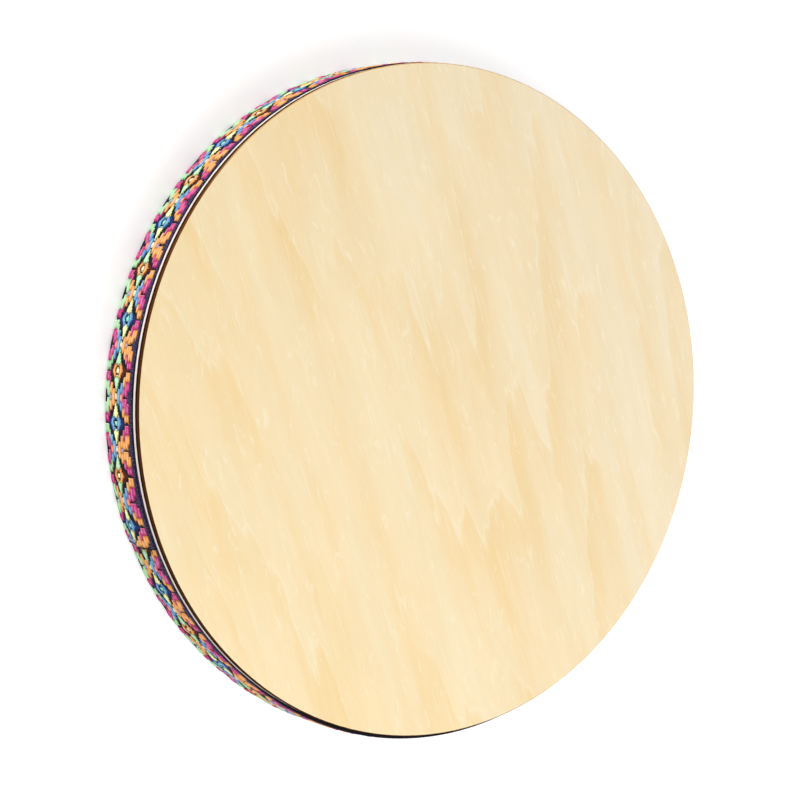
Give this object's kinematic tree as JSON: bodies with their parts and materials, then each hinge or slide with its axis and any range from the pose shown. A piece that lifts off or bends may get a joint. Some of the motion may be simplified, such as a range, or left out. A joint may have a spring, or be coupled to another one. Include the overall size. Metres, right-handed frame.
{
  "type": "stream drum",
  "caption": "Shallow round wooden drum with plywood heads and a woven ribbon round its rim; loose steel beads inside run among pins with the sound of a stream.",
  "frame": {"origin": "centre of the plane that the drum rests on when it lies on its back", "axes": "+Z along the drum's axis, out of the front head; +Y up and +X right as the front head is seen"},
  "size_m": [0.3023, 0.3018, 0.03],
  "materials": {
    "birch_plywood": "pale birch plywood, fine sanded, laser-cut edge",
    "hoop_wood": "bare bent birch",
    "woven_ribbon": "woven band, coloured floats on a navy ground",
    "bamboo": "bare bamboo",
    "bead_steel": "polished steel"
  },
  "bodies": {
    "drum": {"front_head": "birch_plywood", "rear_head": "birch_plywood", "hoop_outer_ply": "hoop_wood", "hoop_inner_ply": "hoop_wood", "ribbon_band": "woven_ribbon", "pin_ring_1": "bamboo", "pin_ring_2": "bamboo", "pin_ring_3": "bamboo", "pin_ring_4": "bamboo", "pin_ring_5": "bamboo"},
    "beads_1": {"bead_lane_1": "bead_steel"},
    "beads_2": {"bead_lane_2": "bead_steel"},
    "beads_3": {"bead_lane_3": "bead_steel"},
    "beads_4": {"bead_lane_4": "bead_steel"},
    "beads_5": {"bead_lane_5": "bead_steel"}
  },
  "joints": [
    {"name": "beads_1_roll", "type": "hinge", "parent": "drum", "child": "beads_1", "pos_m": [0, 0, 0.0063], "axis": [0, 0, 1], "continuous": true},
    {"name": "beads_2_roll", "type": "hinge", "parent": "drum", "child": "beads_2", "pos_m": [0, 0, 0.0063], "axis": [0, 0, 1], "continuous": true},
    {"name": "beads_3_roll", "type": "hinge", "parent": "drum", "child": "beads_3", "pos_m": [0, 0, 0.0063], "axis": [0, 0, 1], "continuous": true},
    {"name": "beads_4_roll", "type": "hinge", "parent": "drum", "child": "beads_4", "pos_m": [0, 0, 0.0063], "axis": [0, 0, 1], "continuous": true},
    {"name": "beads_5_roll", "type": "hinge", "parent": "drum", "child": "beads_5", "pos_m": [0, 0, 0.0063], "axis": [0, 0, 1], "continuous": true}
  ]
}
